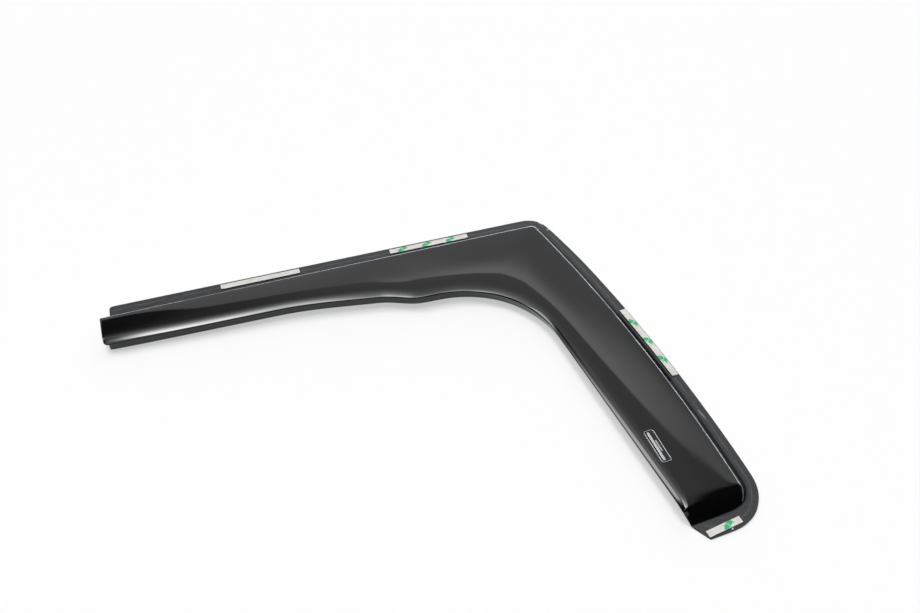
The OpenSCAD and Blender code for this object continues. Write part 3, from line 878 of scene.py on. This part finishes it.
acrylic, board, on_sheet = new_material("smoked_acrylic")
millis = board.node("ShaderNodeVectorMath", {"operation": "SCALE"}, {0: on_sheet, "Scale": 1000.0})
x_mm = board.node("ShaderNodeSeparateXYZ", {}, {0: millis}, 0)
y_mm, z_mm = x_mm.twin(1), x_mm.twin(2)
flat_place = board.node("ShaderNodeCombineXYZ", {}, {0: x_mm, 1: y_mm, 2: 0.0})


def distance_from(centre):
    """Distance in plan from a point of the moulding, in millimetres."""
    return board.node("ShaderNodeVectorMath", {"operation": "DISTANCE"},
                      {0: flat_place, 1: (centre.x + HOME.x, centre.y + HOME.y, 0.0)}, 1)


END_Y = END_CENTRE.y + HOME.y
inset = (HOME.y - y_mm).lowest(BOW_R - distance_from(BOW))
beyond = 1 - y_mm.step(END_Y - 1, END_Y + 1)
inset = inset + beyond * (inset.lowest(END_R - distance_from(END_CENTRE)) - inset)
flange = 1 - z_mm.step(SHEET + 0.2, SHEET + 1.3)
print("masks ready, end of the bow at y", round(END_Y, 1), "mm")

# %% [markdown]
# On the flange the real piece shows fine grain and streaks along the arm. A pale
# line 8 mm in from the edge is a painted highlight, the sheen of the slightly curved flange.
# There is one scuff on the pillar arm, two crease marks at the bend, and two specks of light at
# the lower end. Each is a soft oval.

# %% Marks on the flange
PAINTED_SHEEN_IN = 8.0


def noise(board, vector, scale, detail=2.0):
    return board.node("ShaderNodeTexNoise", {},
                      {"Vector": vector, "Scale": scale, "Detail": detail})


def blot(px, py, long, wide, turn):
    """A soft oval patch round a place of the flange, in millimetres."""
    dx, dy = x_mm - px, y_mm - py
    lengthwise = dx * cosine(turn) + dy * sine(turn)
    crosswise = dy * cosine(turn) - dx * sine(turn)
    far = (lengthwise * (1 / long)).squared() + (crosswise * (1 / wide)).squared()
    return 1 - far.step(0.2, 1.0)


haze = noise(board, on_sheet, 35.0, 3.0)
grain = noise(board, on_sheet, 1400.0)
streak_place = board.node("ShaderNodeCombineXYZ", {}, {0: inset, 1: (x_mm - y_mm) * 0.03, 2: 0.0})
streaks = noise(board, streak_place, 1.3, 3.0)
# A pale line 8 mm in from the edge: a painted highlight, the sheen of the curved flange.
painted_flange_sheen = (1 - (inset - PAINTED_SHEEN_IN).size().step(0.4, 1.8)) * streaks.step(0.35, 0.6)
scuff = blot(101.2, -401.5, 11.0, 1.6, -79) * streaks.step(0.4, 0.55)
creases = blot(35.0, -7.5, 5.0, 1.4, -50).highest(blot(42.5, -22.0, 7.0, 1.3, 35))
specks = blot(60.5, -558.8, 1.6, 1.1, 20).highest(blot(64.5, -555.8, 1.2, 0.8, 40))
print("marks made with", len(board.tree.nodes), "nodes")

# %% [markdown]
# Every mark only lightens the dark sheet a little, and the flange, being duller,
# is also rougher. Along the rim's crest a thin pale line is painted into the
# colour as a painted highlight. The gloss is that of plain plastic with acrylic's index, 1.49.

# %% Smoked acrylic
# The flange's colour: its grain and streaks, and the painted sheen line.
dull_and_sheen = 0.007 + 0.024 * grain.step(0.3, 0.75) + 0.02 * streaks.step(0.45, 0.7) + 0.04 * painted_flange_sheen
marks = 0.14 * scuff + 0.55 * creases * grain.step(0.2, 0.6) + 0.7 * specks
# A thin pale line along the rim's crest, painted into the base colour: a painted highlight.
painted_crest_highlight = board.node("ShaderNodeAttribute", {"attribute_name": "crest"}, (), "Fac").step(0.2, 0.6)
shade = (0.002 + 0.0015 * haze + flange * (dull_and_sheen + marks)
         + 0.6 * painted_crest_highlight * (0.5 + 0.5 * haze.step(0.3, 0.7)))
tint = board.node("ShaderNodeCombineColor", {}, {0: shade * 0.92, 1: shade, 2: shade * 1.1})
roughness = 0.02 + 0.025 * haze + flange * (0.24 + 0.2 * grain)
relief = grain * flange * 0.6 + streaks * flange * 0.5 + haze * 0.15
board.surface(relief, 0.25, 0.00006, {"Base Color": tint, "Roughness": roughness, "IOR": 1.49})
shell_mesh.materials.append(acrylic)
print("acrylic has", len(acrylic.node_tree.nodes), "nodes")

# %% [markdown]
# ## Tape and liners
# Every strip has a line to follow. The line turns a distance s along the
# strip and a distance t across it into a place on the flange.

# %% Lines of the strips
TAPE_W, TAPE_T, LINER_T, LINER_OVER = 8.0, 1.1, 0.3, 0.3
REAR_LEN, REAR_AT, FRONT_LEN, FRONT_AT = 110.0, 363.5, 116.0, 115.5
ROOF_GAP, PILLAR_GAP = 4.0, 1.8
ROOF_IN, PILLAR_TAPE_IN = ROOF_GAP + TAPE_W / 2, PILLAR_GAP + TAPE_W / 2
PILLAR_TAPE_LEN, PILLAR_TAPE_AT = 128.0, 276.0
END_TAPE_LEN, END_TAPE_TURN, END_TAPE_AT, END_TAPE_IN = 45.0, 9.0, 6.0, 7.0
PILLAR_TAPE_MID = math.degrees(math.asin(sine(PILLAR_LEAN) - PILLAR_TAPE_AT / BOW_R))
END_MID = END_CENTRE + Vector((-END_TAPE_AT, END_TAPE_IN - END_R))


def roof_line(away, length):
    """A line straight along the roof arm, ending a distance away from the corner."""
    return lambda s, t: Vector((-away - length / 2 + s, -ROOF_IN + t))


def pillar_line(s, t):
    return bow(PILLAR_TAPE_MID - math.degrees(s / BOW_R), PILLAR_TAPE_IN - t)


def end_line(s, t):
    return END_MID + s * heading(END_TAPE_TURN) + t * heading(END_TAPE_TURN + 90)


print("end strip lies", round(-END_MID.y), "mm down from the roof edge")

# %% [markdown]
# A liner is a thin film. It lifts a little at its ends and edges, as film does
# on soft foam. Each face of it is a grid of points, and each point also gets a
# place on the print, so that the ink follows the strip.

# %% Liner shape
LINER_ROWS, LINER_COLS = 40, 6
END_LIFT, EDGE_LIFT, WAVE_LIFT, CURL_SHARE = 0.22, 0.05, 0.03, 0.07
PRINT_SCALE = 100.0


def film_lift(s, t, half, wide):
    """How far the film stands off the foam: curled ends and edges, and small waves."""
    curl = max(0.0, abs(s) / half - (1 - CURL_SHARE)) / CURL_SHARE
    wave = math.sin(s * 0.35 + t) * math.cos(s * 0.11)
    return max(0.0, END_LIFT * curl + EDGE_LIFT * (t / wide) ** 2 + WAVE_LIFT * wave)


def film_grid(bm, line, half, wide, low, spots):
    """Points of one face of the film. Their places on the print go into spots."""
    grid = []
    for a in range(LINER_ROWS + 1):
        s = lerp(-half, half, a / LINER_ROWS)
        grid.append([])
        for b in range(LINER_COLS + 1):
            t = lerp(-wide, wide, b / LINER_COLS)
            vert = place(bm, at(line(s, t), low + film_lift(s, t, half, wide)))
            spots[vert] = (s / PRINT_SCALE, t / PRINT_SCALE)
            grid[-1].append(vert)
    return grid


print("each liner is", TAPE_W + 2 * LINER_OVER, "mm wide")

# %% [markdown]
# The film is off-white and satin, with a faint weave. Its print repeats every
# 36 mm: a plain green leaf, split by a gap, and a dot beside it, with a pale
# green halo. Noise makes its outline uneven, as cheap print is.

# %% Liner film
PRINT_EVERY = 36.0


def liner_film(name, ink):
    """Film with a green print. Ink is a pair: its strength and its shift."""
    strength, shift = ink
    film, board, on_piece = new_material(name)
    spot = board.node("ShaderNodeUVMap", {"uv_map": "print"})
    lengthwise = board.node("ShaderNodeSeparateXYZ", {}, {0: spot}, 0)
    s, t = lengthwise * PRINT_SCALE, lengthwise.twin(1) * PRINT_SCALE
    shifted = s + PRINT_EVERY / 2 - shift
    cell = shifted.maths("FLOORED_MODULO", shifted, PRINT_EVERY) - PRINT_EVERY / 2
    wobble = noise(board, on_piece, 500.0, 3.0) - 0.5
    lean = cell - 0.9 * t + 7.0 * wobble
    leaf = 1 - ((lean * 0.16).squared() + (t * 0.2).squared()).step(0.6, 1.0)
    split = (cell + 0.8 * t + 6.0 * wobble - 0.6).size().step(0.3, 1.2)
    dot = 1 - ((cell - 7.5).squared() + (t - 0.8).squared()).step(0.8, 2.2)
    printed = (leaf * (0.35 + 0.65 * split) + dot * 0.7) * strength
    halo = (1 - ((cell * 0.1).squared() + (t * 0.15).squared()).step(0.2, 1.0)) * 0.22 * strength
    mottle = noise(board, on_piece, 90.0, 3.0)
    weave = noise(board, on_piece, 1800.0)
    paper = board.mix(mottle.step(0.3, 0.7), (0.66, 0.63, 0.6, 1), (0.74, 0.71, 0.69, 1))
    paper = board.mix(weave.step(0.4, 0.75) * 0.25, paper, (0.56, 0.55, 0.52, 1))
    tinted = board.mix(halo, paper, (0.45, 0.78, 0.5, 1))
    inked = board.mix(printed.lowest(1.0), tinted, (0.03, 0.42, 0.18, 1))
    board.surface(weave + mottle, 0.3, 0.00004, {
        "Base Color": inked, "Roughness": 0.42 + 0.15 * mottle})
    return film


print("the print repeats every", PRINT_EVERY, "mm")

# %% [markdown]
# A liner is one closed piece: two grids, and a strip of faces round their
# border. It stands in for the flat liner of the CAD model.

# %% Liner pieces
def ribbon(name, line, length, ink):
    """A liner along a line, with its own print map."""
    half, wide = length / 2 + LINER_OVER, TAPE_W / 2 + LINER_OVER
    low = FLANGE_Z + TAPE_T
    mesh = bpy.data.meshes.new(name)
    bm = bmesh.new()
    spots = {}
    under = film_grid(bm, line, half, wide, low, spots)
    upper = film_grid(bm, line, half, wide, low + LINER_T, spots)
    for a in range(LINER_ROWS):
        for b in range(LINER_COLS):
            bm.faces.new([upper[a][b], upper[a + 1][b], upper[a + 1][b + 1], upper[a][b + 1]])
            bm.faces.new([under[a][b], under[a][b + 1], under[a + 1][b + 1], under[a + 1][b]])
    ring = ([(a, 0) for a in range(LINER_ROWS)] + [(LINER_ROWS, b) for b in range(LINER_COLS)]
            + [(a, LINER_COLS) for a in range(LINER_ROWS, 0, -1)]
            + [(0, b) for b in range(LINER_COLS, 0, -1)])
    for n, (a, b) in enumerate(ring):
        c, d = ring[(n + 1) % len(ring)]
        bm.faces.new([under[a][b], under[c][d], upper[c][d], upper[a][b]])
    bmesh.ops.recalc_face_normals(bm, faces=bm.faces)
    print_map = bm.loops.layers.uv.new("print")
    for face in bm.faces:
        for loop in face.loops:
            loop[print_map].uv = spots[loop.vert]
    bm.to_mesh(mesh)
    bm.free()
    made = new_object(name, mesh)
    mesh.materials.append(liner_film(name, ink))
    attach(made, "root")
    return made


print("a liner rests", round(FLANGE_Z + TAPE_T, 1), "mm above the table")

# %% [markdown]
# Four liners go on. The rear one comes from a roll where the ink has nearly run
# out, and on each the print starts at another place.

# %% Four liners
for node, line, length, ink in (
        ("rear_roof_liner", roof_line(REAR_AT, REAR_LEN), REAR_LEN, (0.1, -50.0)),
        ("front_roof_liner", roof_line(FRONT_AT, FRONT_LEN), FRONT_LEN, (1.0, -4.0)),
        ("pillar_liner", pillar_line, PILLAR_TAPE_LEN, (1.0, -2.0)),
        ("end_liner", end_line, END_TAPE_LEN, (1.0, 5.0))):
    piece = ribbon(node + "_film", line, length, ink)
    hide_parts(node)
    print(piece.name, len(piece.data.vertices), "points")

# %% [markdown]
# The foam strips keep their CAD shape, since only a dark edge of them shows.
# They get a closed-cell foam: dark grey, matte, with fine pores.

# %% Foam
foam, board, on_strip = new_material("tape_foam")
pores = board.node("ShaderNodeTexVoronoi", {}, {"Vector": on_strip, "Scale": 2600.0})
cloud = noise(board, on_strip, 120.0, 3.0)
grey = board.mix(cloud, (0.045, 0.045, 0.048, 1), (0.075, 0.075, 0.08, 1))
grey = board.mix(1 - pores.step(0.05, 0.3), grey, (0.02, 0.02, 0.02, 1))
board.surface(pores, 0.6, 0.0001, {"Base Color": grey, "Roughness": 0.8 + 0.15 * cloud})
for node in ("rear_roof_tape", "front_roof_tape", "pillar_tape", "end_tape"):
    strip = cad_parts[node]
    strip.data.materials.clear()
    strip.data.materials.append(foam)
print("foam on four strips")

# %% [markdown]
# ## The badge
# The badge lies on the slope of the pillar arm's shield. Its own frame has x
# across the arm towards the rim, y up the arm and z away from the shield.

# %% Place of the badge
BADGE_L, BADGE_W, BADGE_T, BADGE_R = 48.0, 13.0, 0.9, 3.0
BADGE_FRAME_W, BADGE_FRAME_H = 0.6, 0.3
BADGE_AT, BADGE_ACROSS, BADGE_SLANT, GLUE_T = 444.0, 0.77, 6.0, 0.15
NEARBY = 0.05


def badge_h(off):
    """Height of the shield under the badge, off its middle by a share of the slope."""
    v = BADGE_ACROSS + off
    return RIM_Z + (BROW_H - RIM_H) * v + CROWN_H * v ** 3 * (1 - v) * CROWN_PEAK


badge_turn = math.degrees(math.asin((-BADGE_AT - BOW.y) / (BOW_R - PILLAR_RIM_IN)))
badge_rim = bow(badge_turn, PILLAR_RIM_IN)
edge_y = badge_rim.y - BADGE_SLANT
badge_edge = Vector((INNER_FOOT.x + (INNER_FOOT.y - edge_y) * TAN_IN, edge_y))
badge_run = (badge_rim - badge_edge).length
badge_slope = math.atan2(badge_h(NEARBY) - badge_h(-NEARBY), badge_run * 2 * NEARBY)
badge_mid = lerp(badge_rim, badge_edge, BADGE_ACROSS)
badge_seat = (Matrix.Translation((at(badge_mid, badge_h(0)) + HOME) * MM)
              @ Matrix.Rotation(math.radians(angle_of(badge_rim - badge_edge)), 4, "Z")
              @ Matrix.Rotation(badge_slope, 4, "Y")
              @ Matrix.Translation((0, 0, GLUE_T * MM)) @ Matrix.Scale(MM, 4))
print("badge leans", round(math.degrees(badge_slope), 1), "degrees")

# %% [markdown]
# All its pieces are flat plates: a dark field, a bright frame round it, and a
# long and a short bar with no lettering. They need two outlines, a box with
# round corners and a bar with round ends.

# %% Badge outlines
def rounded_box(inset, n=6):
    """The badge's outline set in, as a closed list of points."""
    points = []
    for sx, sy, start in ((1, 1, 0), (-1, 1, 90), (-1, -1, 180), (1, -1, 270)):
        corner = Vector((sx * (BADGE_W / 2 - BADGE_R), sy * (BADGE_L / 2 - BADGE_R)))
        points += [corner + (BADGE_R - inset) * heading(start + 90 * k / n) for k in range(n + 1)]
    return points


def bar(cx, long, wide, n=8):
    """A bar with round ends, along the badge."""
    ends = [(Vector((cx, (long - wide) / 2)), 0), (Vector((cx, (wide - long) / 2)), 180)]
    return [middle + wide / 2 * heading(start + 180 * k / n)
            for middle, start in ends for k in range(n + 1)]


print("badge outline has", len(rounded_box(0.0)), "points")

# %% [markdown]
# A plate is built lying flat, with the sides of its outline and of its hole, if
# it has one. It is then moved onto the shield, and its edges are softened.

# %% Badge plates
SOFT_EDGE = 0.09 * MM


def plate(name, outline, low, top, metal, hole=()):
    """A plate between two heights, or a frame where a hole is given."""
    mesh = bpy.data.meshes.new(name)
    bm = bmesh.new()
    loops = [[[bm.verts.new((p.x, p.y, h)) for p in points] for h in (low, top)]
             for points in ((outline, hole) if hole else (outline,))]
    for lower, upper in loops:
        for k in range(len(lower)):
            m = (k + 1) % len(lower)
            bm.faces.new([lower[k], lower[m], upper[m], upper[k]])
    if hole:
        for level in (0, 1):
            out, into = loops[0][level], loops[1][level]
            for k in range(len(out)):
                m = (k + 1) % len(out)
                bm.faces.new([out[k], out[m], into[m], into[k]])
    else:
        bm.faces.new(loops[0][0][::-1])
        bm.faces.new(loops[0][1])
    bmesh.ops.recalc_face_normals(bm, faces=bm.faces)
    bm.transform(badge_seat)
    bm.to_mesh(mesh)
    bm.free()
    made = new_object(name, mesh)
    soft = made.modifiers.new("soft", "BEVEL")
    soft.width, soft.segments, soft.limit_method = SOFT_EDGE, 3, "ANGLE"
    mesh.materials.append(metal)
    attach(made, "root")
    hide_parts("badge_plate")
    return made


print("plates get a", round(SOFT_EDGE / MM, 2), "mm soft edge")

# %% [markdown]
# The metal is satin, brushed along the badge. The field is dark lacquer. One
# function makes all three finishes, since they share the brushing and the haze.

# %% Badge materials
def badge_finish(name, pale, dark, metallic, rough):
    made, board, on_badge = new_material(name)
    stretched = board.node("ShaderNodeMapping", {},
                           {"Vector": on_badge, "Scale": (3000.0, 90.0, 3000.0)})
    brushed = noise(board, stretched, 1.0)
    cloud = noise(board, on_badge, 250.0)
    shade = board.mix(brushed * 0.6 + cloud * 0.4, dark, pale)
    board.surface(brushed, 0.15, 0.00003, {
        "Base Color": shade, "Metallic": metallic, "Roughness": rough + 0.12 * brushed})
    return made


silver = badge_finish("badge_silver", (0.82, 0.83, 0.85, 1), (0.62, 0.63, 0.65, 1), 1.0, 0.16)
satin = badge_finish("badge_satin", (0.5, 0.5, 0.52, 1), (0.36, 0.36, 0.38, 1), 1.0, 0.3)
lacquer = badge_finish("badge_lacquer", (0.012, 0.012, 0.014, 1), (0.006, 0.006, 0.007, 1),
                       0.0, 0.1)
print("three badge finishes ready")

# %% [markdown]
# The field stops just inside the frame's outline. The bars sink a little into
# it, so no gap shows under them.

# %% Badge
FIELD_H, FIELD_IN, BAR_SINK, BAR_H, SHORT_BAR_H = BADGE_T - 0.1, 0.05, 0.2, 0.25, 0.2
# A bar's place across the badge, its length and its width.
BAR, SHORT_BAR = (-1.9, 43.0, 3.0), (1.7, 17.0, 2.0)
plate("badge_field", rounded_box(FIELD_IN), 0.0, FIELD_H, lacquer)
plate("badge_frame", rounded_box(0.0), 0.0, BADGE_T + BADGE_FRAME_H, silver,
      rounded_box(BADGE_FRAME_W))
plate("badge_bar", bar(*BAR), FIELD_H - BAR_SINK, FIELD_H + BAR_H, silver)
plate("badge_short_bar", bar(*SHORT_BAR), FIELD_H - BAR_SINK, FIELD_H + SHORT_BAR_H, satin)
print("badge has 4 pieces")
